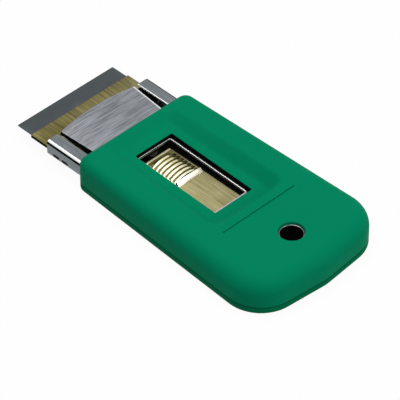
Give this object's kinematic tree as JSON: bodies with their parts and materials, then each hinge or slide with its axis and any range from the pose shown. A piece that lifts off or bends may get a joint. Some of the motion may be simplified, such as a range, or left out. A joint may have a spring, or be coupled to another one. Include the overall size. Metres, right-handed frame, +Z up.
{
  "type": "razor blade scraper",
  "caption": "Flat hand scraper with a single-edge blade on a sliding carrier, a folded metal sheath and a soft two-shell grip with a thumb window and a hanging hole.",
  "frame": {"origin": "centre of the flat underside, halfway along the tool with its blade out", "axes": "+X along the tool towards the hanging hole, with the cutting edge at -X; +Y across the tool; +Z up out of the thumb window"},
  "size_m": [0.1102, 0.0516, 0.0118],
  "materials": {
    "blade_steel": "dark blued blade steel, ground along the edge",
    "spine_steel": "bright folded strip",
    "slider_brass": "olive brass plating, brushed along the tool",
    "sheath_steel": "nickel-plated sheet, brushed across the tool, bright folded edges",
    "fastener_steel": "plain bright steel",
    "spring_steel": "dark spring steel",
    "grip_rubber": "matte green soft moulding"
  },
  "bodies": {
    "handle": {"sheath_tray": "sheath_steel", "cover_plate": "sheath_steel", "cover_rivets": "fastener_steel", "stop_pin": "fastener_steel", "detent_spring": "spring_steel", "spring_rivet": "fastener_steel", "grip_top": "grip_rubber", "grip_base": "grip_rubber", "grip_screws": "fastener_steel", "hang_eyelet": "fastener_steel"},
    "slider": {"blade_slider": "slider_brass", "thumb_pad": "slider_brass", "blade": "blade_steel", "blade_spine": "spine_steel"}
  },
  "joints": [
    {"name": "blade_slide", "type": "slide", "parent": "handle", "child": "slider", "axis": [1, 0, 0], "range_m": [0, 0.015]}
  ]
}
